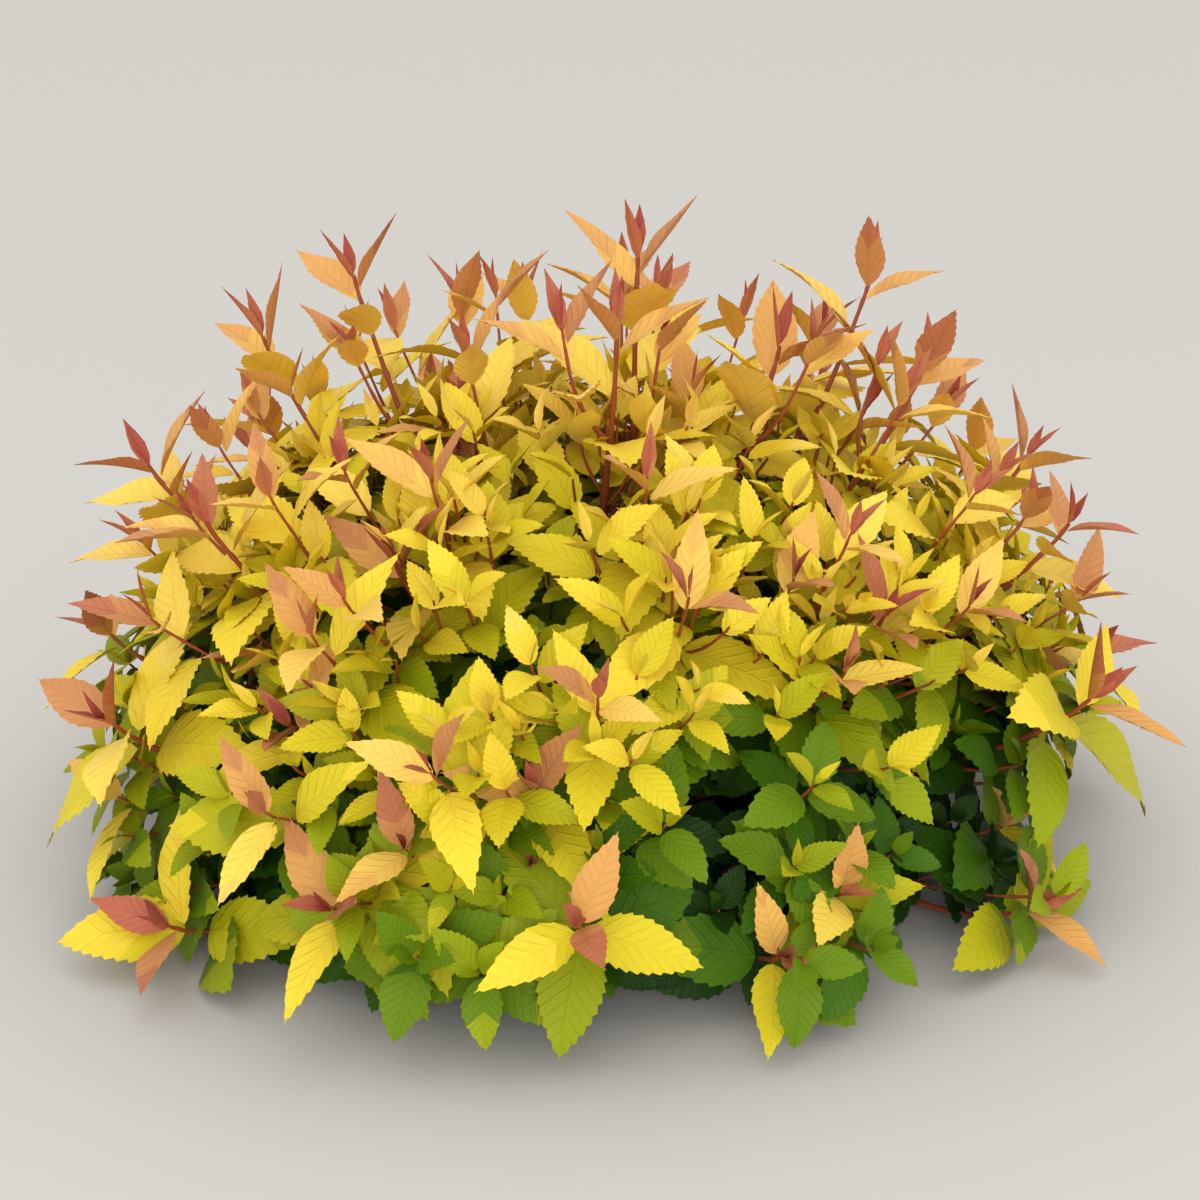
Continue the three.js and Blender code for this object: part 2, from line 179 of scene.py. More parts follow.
# By step from the shoot's tip:
LEAF_RISE = (0.16, 0.0, 5)
LEAF_FOLD = (0.55, 0.16, 6)  # up along the midrib
LEAF_CURL = (-0.1, 0.6, 6)  # down towards the leaf's tip, in radians
# By both: the share of its angle from the stem that an old leaf keeps at the top.
TOP_ANGLE_SHARE, TOP_ANGLE_HEIGHT, TOP_ANGLE_STEPS = 0.84, 330, 6
FLAT_AFTER, FLAT_STEPS = 2, 3  # steps from the tip where leaves start to turn across the light

CROWN_DOME = (320, 300, 345)  # leaves in from it are older and greener, and low down darker with painted shade
DOME_RIM, DOME_DEPTH = 0.06, 0.34  # where that starts, and over how much of the way to the middle
CROWN_MIDDLE = 60  # height of the place that leaves turn away from
GROUND_CLEARANCE = 1.5
LEAF_CLEARANCE = 7  # height that leaves over the ground are turned up to

CROSSING_SHARE = 0.85  # how much of its outline counts when a leaf is tested for cuts through others
LEAF_TRIES = [(0, 1), (18, 0.95), (-18, 0.95), (0, 0.75), (36, 0.8), (-36, 0.8), (0, 0.55)]  # turn, size

# The leading stems of these tiers show between the leaves: from a share of the stem upwards, small leaves
# are left out of round spaces that open from it outwards and up.
FREE_TIERS = ("top", "upper", "middle")
FREE_FROM, FREE_PLACES = 0.38, 14  # how far up the stem, and how many spaces
FREE_RISE = 0.4  # how steeply they open
FREE_NEAR, FREE_REACH, FREE_RADIUS = 3, 110, 13
FREE_KEPT = 4  # the newest leaves of side shoots, which stay

# Leaf forms: pairs of side veins, share of width, the petiole's share, how blunt the base and how drawn
# out the point is, and the depth of a tooth.
LEAF_FORMS = {
    "bud": {"veins": 4, "width": 0.30, "petiole": 0.04, "base": 0.9, "point": 1.5, "tooth": 0.005},
    "young": {"veins": 8, "width": 0.40, "petiole": 0.05, "base": 0.8, "point": 1.35, "tooth": 0.014},
    "grown": {"veins": 10, "width": 0.47, "petiole": 0.06, "base": 0.72, "point": 1.15, "tooth": 0.022},
    "shade": {"veins": 7, "width": 0.54, "petiole": 0.08, "base": 0.66, "point": 1.0, "tooth": 0.026},
}
BUD_STEPS, YOUNG_STEPS = 2, 5  # steps from the tip with buds and with young leaves
SHADE_FORM_TINT = 11.5  # leaves with a greener tint than this have the shade form
# All in shares of a leaf's length:
PETIOLE_HALF, PETIOLE_SEAT = 0.008, 0.012  # half its width, and how deep it sits in the stem
LAST_RIB, RIB_CROWDING = 0.86, 1.05  # where the last side vein leaves the midrib
FIRST_TOOTH, LAST_TOOTH = 0.13, 0.93
TOOTH_OUT, TOOTH_DIP = 0.6, 0.005  # a share of the tooth's depth, and how far its tip sinks
NOTCH_ON, NOTCH_IN, NOTCH_RISE = 0.2, 0.5, 0.006  # on from the tip, in from the edge, and up
LOW_EDGE, LOW_BREADTH = 0.045, 1.05  # the first corner of the blade past the petiole
LEAST_CURL = 0.02
WAVE_HEIGHT, WAVE_RATE, WAVE_TURN = 0.08, 9, 6.28  # of the edges, up on one side and down on the other
SHEET_WIDTH, SHEET_MARGIN = 0.7, 0.02  # what a leaf's own map takes in, in shares of its length
LEAF_MAP = "OFBake"  # every leaf's own width and length, the same on each

# Tints from the newest leaves at a tip to the oldest ones in the shade. Each is partly the leaf's own
# colour and
# partly painted light: the reds to yellows, used high in the crown, are lightened as painted light falling
# on and shining through those leaves, and the limes to greens, used low and inside it, are darkened as
# painted shade.
TINTS = {
    "bud_crimson": "#B45A4C",
    "bud_red": "#BF6B50",
    "copper_red": "#BF7450",
    "copper": "#CC8C56",
    "salmon_orange": "#DFA458",
    "orange_gold": "#EEB95A",
    "gold": "#F3C95C",
    "golden_yellow": "#F5D452",
    "yellow": "#F0D438",
    "acid_yellow": "#DCC824",
    "yellow_lime": "#B8B212",
    "lime": "#949F0A",
    "green_lime": "#668306",
    "fresh_green": "#466E05",
    "leaf_green": "#2F5505",
    "shade_green": "#224206",
}
SKINS = {
    "bark_furrows": "#3E2C20", "bark_ridges": "#8A6E55", "bough_furrows": "#4A261A",
    "bough_ridges": "#8A5238", "stem_skin": "#96421F", "twig_skin": "#9E4A28",
    "shade_twig_skin": "#6A4630", "floor": "#C6C2BB",
}
# Places in the row of tints for the leaves from a shoot's tip back, at the crown's top and at its foot. At
# the foot the row runs on into the darker greens: partly the leaves' own colour, and partly painted shade
# low in the crown next to painted light at its top.
TOP_TINTS = [0.3, 1.0, 2.6, 4.2, 5.9, 6.7, 7.1, 7.3, 7.5]
FOOT_TINTS = [0.3, 1.0, 1.9, 3.4, 8.8, 9.5, 10.4, 11.4, 12.4]
TINT_HEIGHT = 330  # from where on the first row holds alone
# Tints that are added inside the crown: how many, the height below which, and over how much height. The
# shaded ones make leaves low and deep in the crown greener and darker: partly the colour of leaves grown in
# shade, and partly painted shade.
AGED = {"tints": 1.2, "below": 280, "over": 130}
SHADED = {"tints": 7.0, "below": 190, "over": 135}
# Along one young leaf the tip is newer than the base by up to this many tints, less as it ages.
TIP_TINTS, TIP_MIDDLE = 1.1, 0.45
OLD_TINT, YOUTH_SPAN, LEAST_YOUTH = 9.5, 4, 0.3


def linear(hex_colour):
    """The linear light of an sRGB hex colour."""
    shares = [int(hex_colour[i:i + 2], 16) / 255 for i in (1, 3, 5)]
    return [s / 12.92 if s <= 0.04045 else ((s + 0.055) / 1.055) ** 2.4 for s in shares]


# ---- Numbers and directions ----

WORD = 0xFFFFFFFF
UP = np.array([0.0, 0.0, 1.0])


def seeded(seed):
    """A repeatable stream of numbers from 0 to 1, the same one that the solids use."""
    state = seed & WORD

    def draw():
        nonlocal state
        state = (state + 0x6D2B79F5) & WORD
        t = state
        t = ((t ^ (t >> 15)) * (t | 1)) & WORD
        t ^= (t + (((t ^ (t >> 7)) * (t | 61)) & WORD)) & WORD
        return ((t ^ (t >> 14)) & WORD) / (WORD + 1)

    return draw


def unit(vector):
    length = math.sqrt(float(vector @ vector))
    return vector / length if length else vector


def unit_rows(rows):
    return rows / np.linalg.norm(rows, axis=1, keepdims=True)


def lerp(a, b, share):
    return a + (b - a) * share


def share_of(value, whole):
    """The value's share of the whole, kept between 0 and 1."""
    return min(1.0, max(0.0, value / whole))


def graded(rule, value):
    """What a rule of first value, last value and reach gives at this value."""
    first, last, reach = rule
    return lerp(first, last, share_of(value, reach))


def varied(random):
    """A share near 1 that sizes are varied by."""
    return 1 - SIZE_SPREAD + 2 * SIZE_SPREAD * random()


def swung(random, width):
    """A value within this width, half of it to either side of 0."""
    return width * (random() - 0.5)


def leaning(azimuth, lean):
    """The direction at an azimuth that leans from the vertical."""
    a = math.radians(azimuth)
    t = math.radians(lean)
    return np.array([math.sin(t) * math.sin(a), -math.sin(t) * math.cos(a), math.cos(t)])


def growth_at(place):
    """The way that a shoot at this place turns: outwards low in the crown, upwards at its top."""
    x, y, z = place
    lean = math.degrees(math.atan2(math.hypot(x, y), z)) * CANE_END_LEAN
    return leaning(math.degrees(math.atan2(x, -y)), lean)


def turned_from(axis, angle, turn):
    """A direction turned away from an axis by an angle, on the side that turn gives."""
    first = np.cross(axis, UP)
    if math.sqrt(float(first @ first)) < UPRIGHT_SINE:
        first = np.array([1.0, 0.0, 0.0])
    first = unit(first)
    second = unit(np.cross(axis, first))
    side = first * math.cos(math.radians(turn)) + second * math.sin(math.radians(turn))
    return unit(axis * math.cos(math.radians(angle)) + side * math.sin(math.radians(angle)))


def bezier(points, steps):
    """Points along a Bezier curve with three or four control points."""
    degree = len(points) - 1
    places = []
    for t in np.linspace(0, 1, steps + 1):
        weights = [math.comb(degree, i) * t**i * (1 - t) ** (degree - i) for i in range(degree + 1)]
        places.append(sum(w * p for w, p in zip(weights, points)))
    return places


class Path:
    """A line of straight steps, with the length up to each point of it."""

    def __init__(self, points):
        self.points = np.array(points, float)
        steps = np.linalg.norm(np.diff(self.points, axis=0), axis=1)
        self.lengths = np.concatenate([[0.0], np.cumsum(steps)])
        self.length = float(self.lengths[-1])
        self._spread = None

    def at(self, along):
        i = 1
        while i < len(self.points) - 1 and self.lengths[i] < along:
            i += 1
        share = (along - self.lengths[i - 1]) / (self.lengths[i] - self.lengths[i - 1])
        return lerp(self.points[i - 1], self.points[i], share)

    def direction(self, along):
        span = self.length / DIRECTION_STEPS
        return unit(self.at(min(self.length, along + span)) - self.at(max(0.0, along - span)))

    def part(self, start, end, steps):
        return Path([self.at(start + (end - start) * i / steps) for i in range(steps + 1)])

    @property
    def spread(self):
        if self._spread is None:
            self._spread = self.part(0, self.length, SPREAD_STEPS).points
        return self._spread

    def distance_to(self, place):
        return float(np.sqrt(((self.spread - place) ** 2).sum(axis=1).min()))


# ---- The growth rule ----

class Cane:
    """One cane: its bare bough, if it has one, and its leafy stem."""

    def __init__(self, tier, i):
        count = len(tier["azimuth"])
        azimuth, distance, height = (tier[key][i] for key in ("azimuth", "distance", "height"))
        evenly = -180 + (i + 0.5) * 360 / count
        self.tier = tier["name"]
        self.shoot_count = tier["shoots"]
        self.sprig_count = tier["sprigs"]
        self.packed = tier["packed"]
        self.vigour = {
            "stem": ORDERS["stem"]["vigour"] * tier["vigour"],
            "shoot": ORDERS["shoot"]["vigour"] * tier["vigour"],
            "sprig": tier["sprig_vigour"],
            "shade": ORDERS["shade"]["vigour"],
        }
        self.sprig_rule = {**SPRIG, "last_start": tier["sprig_end"]}
        outwards = leaning((azimuth + evenly) / 2, tier["foot_lean"])
        foot = outwards * STUB["reach"] + UP * STUB["lift"]
        tip = leaning(azimuth, 90) * distance
        tip[2] = height
        turned = growth_at(tip)
        end = tip - turned * TOP_LEAF
        span = float(np.linalg.norm(end - foot))
        self.path = Path(bezier([
            foot,
            foot + outwards * CANE["start_handle"] * span,
            end - turned * CANE["end_handle"] * span,
            end,
        ], CANE["curve_steps"]))
        self.leafy_from = tier["bough"] * self.path.length
        self.bare = None
        if tier["bough"]:
            self.bare = self.path.part(0, self.leafy_from - FIT_GAP, BARE_STEPS)
        steps = math.ceil((self.path.length - self.leafy_from) / STEM_STEP)
        self.stem = self.path.part(self.leafy_from, self.path.length, steps)


def strays(place, own, others):
    """True if a place lies nearer to a stem of another mass than to those of its own."""
    reach = min(path.distance_to(place) for path in own)
    return any(path not in own and path.distance_to(place) < reach for path in others)


def clear_of(path, others, least):
    return all(
        np.sqrt(((path.spread[:, None] - other.spread[None]) ** 2).sum(axis=2).min()) > least
        for other in others
    )


# A shoot of any order: the bend it is drawn with, and the coarse path that keeps its space.
Twig = namedtuple("Twig", "controls path order")


def shoots_along(parent, count, rule, seed, own, leads, stems, order):
    """Shoots spread along a parent path, each clear of every stem there is and in its own space."""
    random = seeded(seed)
    first_turn = random() * 360
    found = []
    for k in range(count):
        rank = k / (count - 1) if count > 1 else 0.5
        share = lerp(rule["first_start"], rule["last_start"], rank) + rule["start_spread"] * random()
        longest = lerp(rule["longest"], rule["shortest"], rank) * varied(random)
        start = parent.at(share * parent.length)
        axis = parent.direction(share * parent.length)
        for extra in TURN_TRIES:
            away = turned_from(axis, rule["angle"], first_turn + k * GOLDEN_TURN + extra)
            onward = unit(away + growth_at(start) * rule["growth"])
            length = longest
            while length > rule["least_length"]:
                end = start + onward * length
                outside = np.linalg.norm(end) > rule["crown_reach"] or end[2] < rule["least_tip_height"]
                outside = outside or depth_in(rule["dome"], end) < 0
                if not outside and not strays(end, own, leads):
                    break
                length -= rule["trim"]
            if length <= rule["least_length"]:
                continue
            controls = [start, start + away * rule["bend_at"] * length, start + onward * length]
            path = Path(bezier(controls, rule["steps"]))
            least = rule["radius"] + rule["other_radius"] + rule["spacing"]
            if not clear_of(path, [other for other in stems if other is not parent], least):
                continue
            if not clear_of(path, [lead for lead in leads if lead not in own], rule["lead_gap"]):
                continue
            found.append(Twig(controls, path, order))
            stems.append(path)
            break
    return found


class Shrub:
    """The whole shrub's canes, twigs and leaves, grown once and shared by the operators."""

    def __init__(self, sizes):
        canes = [Cane(tier, i) for tier in TIERS for i in range(len(tier["azimuth"]))]
        leads = [cane.stem for cane in canes]
        stems = leads + [cane.bare for cane in canes if cane.bare]
        self.shoots = [
            shoots_along(cane.stem, cane.shoot_count, SHOOT, SHOOT_SEED + i, [cane.stem], leads,
                         stems, "shoot")
            for i, cane in enumerate(canes)
        ]
        self.sprigs = []
        for i, cane in enumerate(canes):
            own = [cane.stem]
            parents = [(cane.stem, cane.sprig_count)]
            parents += [(shoot.path, sizes.shoot_sprigs) for shoot in self.shoots[i]]
            grown = []
            for k, (parent, count) in enumerate(parents):
                seed = SPRIG_SEED + CANE_SEEDS * i + k
                grown += shoots_along(parent, count, cane.sprig_rule, seed, own, leads, stems, "sprig")
            if cane.bare:
                grown += shoots_along(cane.bare, sizes.shade_twigs, SHADE_TWIG, SHADE_SEED + i,
                                      [cane.stem, cane.bare], leads, stems, "shade")
            self.sprigs.append(grown)
        self.lines = {"bough": [], "stem": [], "twig": [], "shade": []}
        leaves = []
        for i, cane in enumerate(canes):
            self.dress(cane, self.shoots[i] + self.sprigs[i], seeded(LEAF_SEED + i), leaves)
        leaves = uncrossed(kept_off_leads(canes, leaves))
        self.leaves = {
            tier["name"]: [leaf for leaf in leaves if leaf["tier"] == tier["name"]] for tier in TIERS
        }

    def dress(self, cane, twigs, random, leaves):
        """Draws the cane and its twigs as fine lines, and sets the leaves along them."""
        leafy_from = cane.leafy_from
        foot = lerp(CANE["foot_radius"], CANE["end_radius"], leafy_from / cane.path.length)
        if cane.bare:
            bough = cane.path.part(-BOUGH_SEAT, leafy_from, BOUGH_STEPS)
            self.lines["bough"].append(tapered(bough, CANE["foot_radius"], foot, []))
        rule = ORDERS["stem"]
        stem = lengthened(cane.path.part(leafy_from, cane.path.length, rule["steps"]), rule["reach"])
        nodes = leaves_on(stem, "stem", cane, random, leaves)
        self.lines["stem"].append(tapered(stem, foot, STEM_TIP_RADIUS, nodes))
        for twig in twigs:
            rule = ORDERS[twig.order]
            line = lengthened(Path(bezier(twig.controls, rule["steps"])), rule["reach"])
            nodes = leaves_on(line, twig.order, cane, random, leaves)
            kind = "shade" if twig.order == "shade" else "twig"
            self.lines[kind].append(tapered(line, rule["radius"], TWIG_TIP_RADIUS, nodes))


def lengthened(path, reach):
    """The path with a soft tip that goes on along its end and turns up a little."""
    ahead = path.direction(path.length)
    tip = path.points[-1] + unit(ahead + UP * TIP_RISE) * reach
    middle = path.points[-1] + ahead * reach / 2
    return Path([*path.points, middle, tip])


def tapered(path, start_radius, end_radius, nodes):
    """Points and radii of a stem that is a little thicker at each leaf's node."""
    last_node = path.length - NODE_MARGIN
    stations = [(along, 1.0) for along in path.lengths]
    stations += [(along, NODE_SWELLING) for along in nodes if NODE_MARGIN < along < last_node]
    stations.sort()
    points, radii = [], []
    last = -LEAST_STATION
    for along, swelling in stations:
        if along - last < LEAST_STATION:
            continue
        last = along
        points.append(path.at(along))
        radii.append(lerp(start_radius, end_radius, along / path.length) * swelling)
    return points, radii


def depth_in(dome, place):
    """0 on a dome over the base with these half-widths and this height, and 1 at its middle."""
    return 1 - math.sqrt(sum((along / half) ** 2 for along, half in zip(place, dome)))


def light_at(place):
    """Where most light comes from at a place in the crown: the sky, away from the crown's middle."""
    return unit(UP + unit(place - UP * CROWN_MIDDLE) * graded(LIGHT_ASIDE, place[2]))


def depth_share(place):
    """0 for the crown's outer leaves, and 1 from a good third of the way in."""
    return share_of(depth_in(CROWN_DOME, place) - DOME_RIM, DOME_DEPTH)


def inside(rule, place):
    """How far a change that sets in low in the crown and away from its outside has come."""
    return depth_share(place) * share_of(rule["below"] - place[2], rule["over"])


def tint_at(place, rank, order, spray):
    """The place of a leaf in the row of tints, from 0 for a bud at the top to the shade greens."""
    height = share_of(place[2], TINT_HEIGHT)
    # lighter tints at the top and darker ones at the foot: partly the leaves' colour, partly painted light
    # and shade
    row = [lerp(foot, top, height) for foot, top in zip(FOOT_TINTS, TOP_TINTS)]
    # sprig leaves low in the crown turn greener and darker: partly their own colour, partly painted shade
    greening_and_shade = graded(SPRIG_GREENING_AND_SHADE, place[2]) if order == "sprig" else 0
    tint = float(np.interp(rank + ORDERS[order]["tints_from"] + greening_and_shade, range(len(row)), row))
    # the shaded tints are partly painted shade, darker low and deep in the crown
    return tint + AGED["tints"] * inside(AGED, place) + SHADED["tints"] * inside(SHADED, place) + spray


def leaves_on(path, order, cane, random, leaves):
    """Sets the leaves of one shoot from its tip back, and gives the lengths where they stand."""
    first_turn = random() * 360
    vigour = cane.vigour[order] * varied(random)
    spray = swung(random, SPRAY_TINTS)
    skip = ORDERS[order]["skip"]
    nodes = []
    while True:
        rank = len(nodes) + skip
        step = min(rank, len(LEAF_BACK) - 1)
        back = (LEAF_BACK[step] - LEAF_BACK[skip]) * cane.packed + (rank - step) * INTERNODE
        along = path.length - back * lerp(WEAK_SPACING, 1.0, vigour)
        if along < LEAST_STEM:
            return nodes
        root = path.at(along)
        axis = path.direction(along)
        length = lerp(LEAF_LENGTH[step], OLD_LEAF_LENGTH, share_of(back - OLD_FROM, OLD_SPAN)) * vigour
        length *= varied(random) * lerp(1, SHADE_SIZE, inside(SHADED, root))
        turn = first_turn + len(nodes) * GOLDEN_TURN + swung(random, TURN_SWING)
        old_at_top = share_of(root[2], TOP_ANGLE_HEIGHT) * share_of(rank, TOP_ANGLE_STEPS)
        angle = LEAF_ANGLE[step] * lerp(1.0, TOP_ANGLE_SHARE, old_at_top) + swung(random, ANGLE_SWING)
        ahead = unit(turned_from(axis, angle, turn) + UP * graded(LEAF_RISE, rank))
        upper = unit(axis * AXIS_SHARE + light_at(root))
        flattened = graded(FLATTENED, root[2]) * share_of(rank - FLAT_AFTER, FLAT_STEPS)
        ahead = unit(ahead - upper * float(ahead @ upper) * flattened)
        curl = graded(LEAF_CURL, rank) + swung(random, CURL_SWING)
        least_rise = (LEAF_CLEARANCE - root[2]) / length + max(0, curl) / 2
        if ahead[2] < least_rise:
            ahead[2] = least_rise
            ahead = unit(ahead)
        leaves.append({
            "tier": cane.tier, "order": order, "rank": rank, "path": path,
            "root": root, "ahead": ahead, "upper": upper, "length": length,
            "tint": tint_at(root + ahead * length / 2, rank, order, spray),
            "fold": graded(LEAF_FOLD, rank) + swung(random, FOLD_SWING),
            "curl": curl,
            "twist": swung(random, TWIST_SWING),
            "width": varied(random) * graded(BREADTH, root[2]),
            "wave": random(),
        })
        nodes.append(along)


class LeafSpace:
    """The flat sheets of the leaves placed so far, to keep later ones from cutting through them."""

    def __init__(self, count):
        self.centre, self.ahead, self.side, self.normal = np.zeros((4, count, 3))
        self.half_length, self.half_width = np.zeros((2, count))
        self.path = np.zeros(count, int)
        self.count = 0

    def lay(self, leaf):
        """Writes the leaf's sheet, from its root to its drooping tip, at the next free place."""
        i = self.count
        half = leaf["length"] / 2
        side = unit(np.cross(leaf["upper"], leaf["ahead"]))
        normal = np.cross(leaf["ahead"], side)
        droop = leaf["curl"] / 2
        self.side[i] = side
        self.ahead[i] = leaf["ahead"] * math.cos(droop) - normal * math.sin(droop)
        self.normal[i] = normal * math.cos(droop) + leaf["ahead"] * math.sin(droop)
        self.centre[i] = leaf["root"] + self.ahead[i] * half
        self.half_length[i] = half
        self.half_width[i] = half * LEAF_FORMS[form_of(leaf)]["width"]
        self.path[i] = id(leaf["path"])

    def cut(self, lines, sheets):
        """True if the midrib or the widest line of any of the one set cuts any of the other."""
        for run, half in ((self.ahead, self.half_length), (self.side, self.half_width)):
            reach = run[lines] * half[lines][:, None]
            before, after = (
                ((self.centre[lines] + reach * way - self.centre[sheets]) * self.normal[sheets]).sum(axis=1)
                for way in (-1, 1)
            )
            crosses = before * after < 0
            share = before / np.where(crosses, before - after, 1)
            place = self.centre[lines] + reach * (2 * share - 1)[:, None] - self.centre[sheets]
            u = (place * self.ahead[sheets]).sum(axis=1) / self.half_length[sheets]
            v = (place * self.side[sheets]).sum(axis=1) / self.half_width[sheets]
            if (crosses & (u * u + v * v < CROSSING_SHARE)).any():
                return True
        return False

    def fitted(self, leaf):
        """The leaf, turned in its own plane or shortened until it cuts no other shoot's leaf, or None."""
        i = self.count
        self.lay(leaf)
        apart = np.linalg.norm(self.centre[:i] - leaf["root"], axis=1) - self.half_length[:i]
        near = np.flatnonzero((apart < leaf["length"]) & (self.path[:i] != self.path[i]))
        own = np.full(len(near), i)
        across = self.side[i].copy()
        for turn, size in LEAF_TRIES:
            angle = math.radians(turn)
            ahead = leaf["ahead"] * math.cos(angle) + across * math.sin(angle)
            tried = {**leaf, "ahead": ahead, "length": leaf["length"] * size}
            self.lay(tried)
            if not self.cut(near, own) and not self.cut(own, near):
                self.count += 1
                return tried
        return None


def uncrossed(leaves):
    """The leaves that fit between each other, those of the main stems first."""
    orders = list(ORDERS)
    leaves = sorted(leaves, key=lambda leaf: (orders.index(leaf["order"]), leaf["rank"]))
    space = LeafSpace(len(leaves))
    return [fitted for fitted in map(space.fitted, leaves) if fitted]


def kept_off_leads(canes, leaves):
    """The leaves without the small ones that would stand before a leading stem on its light side."""
    places = np.array([
        cane.stem.at(share * cane.stem.length)
        for cane in canes if cane.tier in FREE_TIERS
        for share in np.linspace(FREE_FROM, 1, FREE_PLACES)
    ])
    ways = unit_rows(unit_rows(places * (1, 1, 0)) + UP * FREE_RISE)

    def hides(leaf):
        if leaf["order"] == "stem" or leaf["order"] == "shoot" and leaf["rank"] < FREE_KEPT:
            return False
        offset = leaf["root"] + leaf["ahead"] * leaf["length"] / 2 - places
        ahead = (offset * ways).sum(axis=1)
        aside = np.linalg.norm(offset - ways * ahead[:, None], axis=1)
        return bool(((ahead > FREE_NEAR) & (ahead < FREE_REACH) & (aside < FREE_RADIUS)).any())

    return [leaf for leaf in leaves if not hides(leaf)]


# ---- Leaf meshes ----

def leaf_form(veins, width, petiole, base, point, tooth):
    """A toothed leaf of length 1 along Y, as corners, triangles, and the place along the leaf of each
    triangle's panel between two side veins."""
    top = (base / (base + point)) ** base * (point / (base + point)) ** point

    def half(v):
        s = share_of(v - petiole, 1 - petiole)
        return 0.5 * width * s**base * (1 - s) ** point / top

    corners = [(PETIOLE_HALF, -PETIOLE_SEAT, 0), (-PETIOLE_HALF, -PETIOLE_SEAT, 0)]
    ribs = [lerp(petiole, LAST_RIB, (i / veins) ** RIB_CROWDING) for i in range(veins)] + [1.0]
    tips = [lerp(petiole + FIRST_TOOTH, LAST_TOOTH, i / (veins - 1)) for i in range(veins)]
    notches = [v + NOTCH_ON * (tips[1] - tips[0]) for v in tips]
    rib_index = []
    for v in ribs:
        rib_index.append(len(corners))
        corners.append((0.0, v, 0.0))
    faces, panels = [], []
    for side in (1, -1):
        def add(x, v, z):
            corners.append((side * x, v, z))
            return len(corners) - 1

        tip_index = [add(half(v) + tooth * TOOTH_OUT, v, -TOOTH_DIP) for v in tips]
        notch_index = [add(half(v) - tooth * NOTCH_IN, v, NOTCH_RISE) for v in notches]
        lowest = add(half(petiole + LOW_EDGE) * LOW_BREADTH, petiole + LOW_EDGE, 0.0)
        ring = [(rib_index[0], lowest, tip_index[0])]
        panels.append(ribs[0])
        for i in range(1, veins):
            below, above, notch = rib_index[i - 1], rib_index[i], notch_index[i - 1]
            ring += [(below, tip_index[i - 1], notch), (below, notch, above), (above, notch, tip_index[i])]
            panels += [(ribs[i - 1] + ribs[i] + tips[i - 1] + tips[i]) / 4] * 3
        last = veins - 1
        ring.append((rib_index[last], tip_index[last], notch_index[last]))
        ring.append((rib_index[last], notch_index[last], rib_index[-1]))
        panels += [ribs[last]] * 2
        faces += ring if side == 1 else [face[::-1] for face in ring]
    faces += [(0, rib_index[0], 1)]
    panels.append(0)
    return np.array(corners, float), np.array(faces), np.array(panels)


def leaf_arrays(leaves, form):
    """All leaves of one form as one set of corners, triangles, tint numbers and leaf coordinates."""
    corners, faces, panels = form
    column = {key: np.array([leaf[key] for leaf in leaves], float) for key in
              ("root", "ahead", "upper", "length", "fold", "curl", "twist", "width", "wave", "tint")}
    across, along, lift = (corners[:, i][None, :] for i in range(3))
    x = across * column["width"][:, None]
    wave = WAVE_HEIGHT * np.sin(WAVE_RATE * along + WAVE_TURN * column["wave"][:, None])
    z = lift + np.abs(x) * column["fold"][:, None] + wave * across
    twist = column["twist"][:, None] * along
    x, z = x * np.cos(twist) - z * np.sin(twist), x * np.sin(twist) + z * np.cos(twist)
    curl = np.where(np.abs(column["curl"]) < LEAST_CURL, LEAST_CURL, column["curl"])[:, None]
    bend = curl * np.clip(along, 0, None)
    y = np.where(along < 0, along, np.sin(bend) / curl + z * np.sin(bend))
    z = z * np.cos(bend) - (1 - np.cos(bend)) / curl
    side = unit_rows(np.cross(column["upper"], column["ahead"]))
    top = np.cross(column["ahead"], side)
    places = column["root"][:, None, :] + column["length"][:, None, None] * sum(
        way[:, None, :] * share[:, :, None]
        for way, share in ((side, x), (column["ahead"], y), (top, z))
    )
    kept = places[:, :, 2].min(axis=1) > GROUND_CLEARANCE
    youth = np.clip((OLD_TINT - column["tint"]) / YOUTH_SPAN, LEAST_YOUTH, 1)[:, None]
    tints = column["tint"][:, None] - TIP_TINTS * (panels - TIP_MIDDLE)[None, :] * youth
    sheet = np.stack([
        0.5 + corners[:, 0] / SHEET_WIDTH, np.clip(corners[:, 1] + SHEET_MARGIN, 0, 1),
    ], axis=1)
    count = int(kept.sum())
    triangles = faces[None] + (np.arange(count) * len(corners))[:, None, None]
    return (
        places[kept].reshape(-1, 3), triangles.reshape(-1, 3),
        tints[kept].reshape(-1), np.tile(sheet[faces].reshape(-1, 2), (count, 1)),
    )


def form_of(leaf):
    if leaf["order"] == "shade" or leaf["tint"] > SHADE_FORM_TINT:
        return "shade"
    if leaf["rank"] < BUD_STEPS:
        return "bud"
    return "young" if leaf["rank"] < YOUNG_STEPS and leaf["order"] != "sprig" else "grown"


def linked(name, data):
    """A new object at the origin with this mesh, light or camera, in the scene."""
    piece = bpy.data.objects.new(name, data)
    bpy.context.scene.collection.objects.link(piece)
    return piece


def mesh_object(name, places, triangles, coordinates, materials, slots):
    """A joined mesh of triangles from arrays in millimetres, at the origin."""
    mesh = bpy.data.meshes.new(name)
    mesh.vertices.add(len(places))
    mesh.vertices.foreach_set("co", (places * MM).astype(np.float32).ravel())
    mesh.loops.add(3 * len(triangles))
    mesh.loops.foreach_set("vertex_index", triangles.astype(np.int32).ravel())
    mesh.polygons.add(len(triangles))
    mesh.polygons.foreach_set("loop_start", np.arange(0, 3 * len(triangles), 3, dtype=np.int32))
    mesh.polygons.foreach_set("material_index", slots.astype(np.int32))
    mesh.polygons.foreach_set("use_smooth", np.ones(len(triangles), bool))
    layer = mesh.uv_layers.new(name=LEAF_MAP)
    layer.data.foreach_set("uv", coordinates.astype(np.float32).ravel())
    for material in materials:
        mesh.materials.append(material)
    mesh.update(calc_edges=True)
    mesh.validate()
    return linked(name, mesh)


# ---- Materials ----

